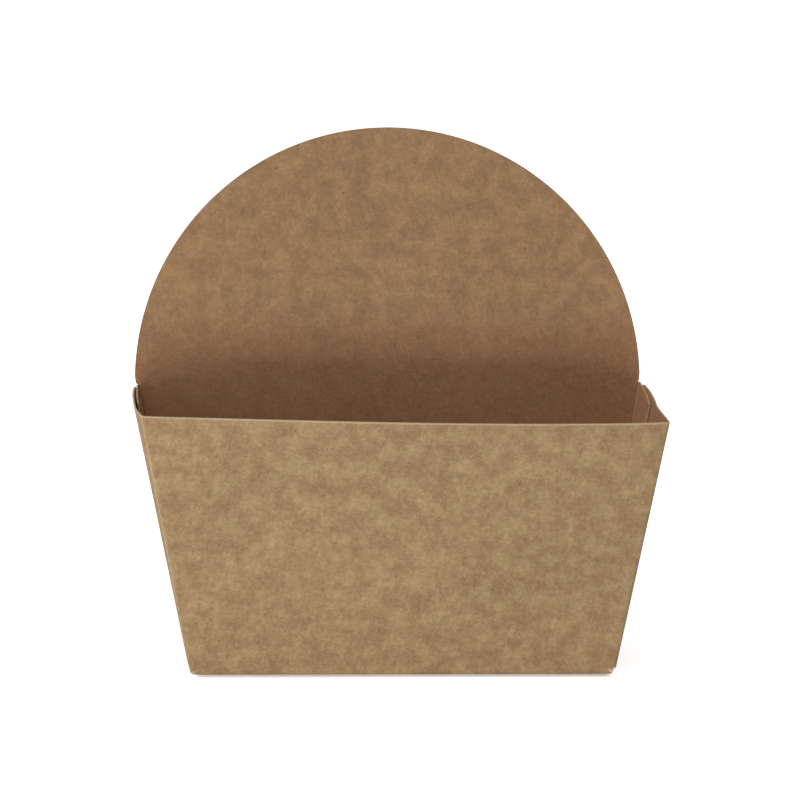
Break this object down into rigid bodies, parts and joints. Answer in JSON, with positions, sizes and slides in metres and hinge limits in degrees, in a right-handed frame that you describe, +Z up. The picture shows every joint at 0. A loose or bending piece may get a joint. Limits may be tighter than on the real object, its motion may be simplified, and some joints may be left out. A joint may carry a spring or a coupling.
{
  "type": "bakery box",
  "caption": "Open one-piece folded kraft board pocket with a low front, creased side walls and a tall half-round back.",
  "frame": {"origin": "centre of the bottom's flat part on the surface that the box stands on", "axes": "+Z up, -Y towards the low front panel, +X to the right as seen from the front"},
  "size_m": [0.1415, 0.0724, 0.1417],
  "materials": {
    "kraft_board": "matte uncoated brown kraft board with fine fibres and dark flecks"
  },
  "bodies": {
    "root": {"folded_carton": "kraft_board"}
  },
  "joints": []
}
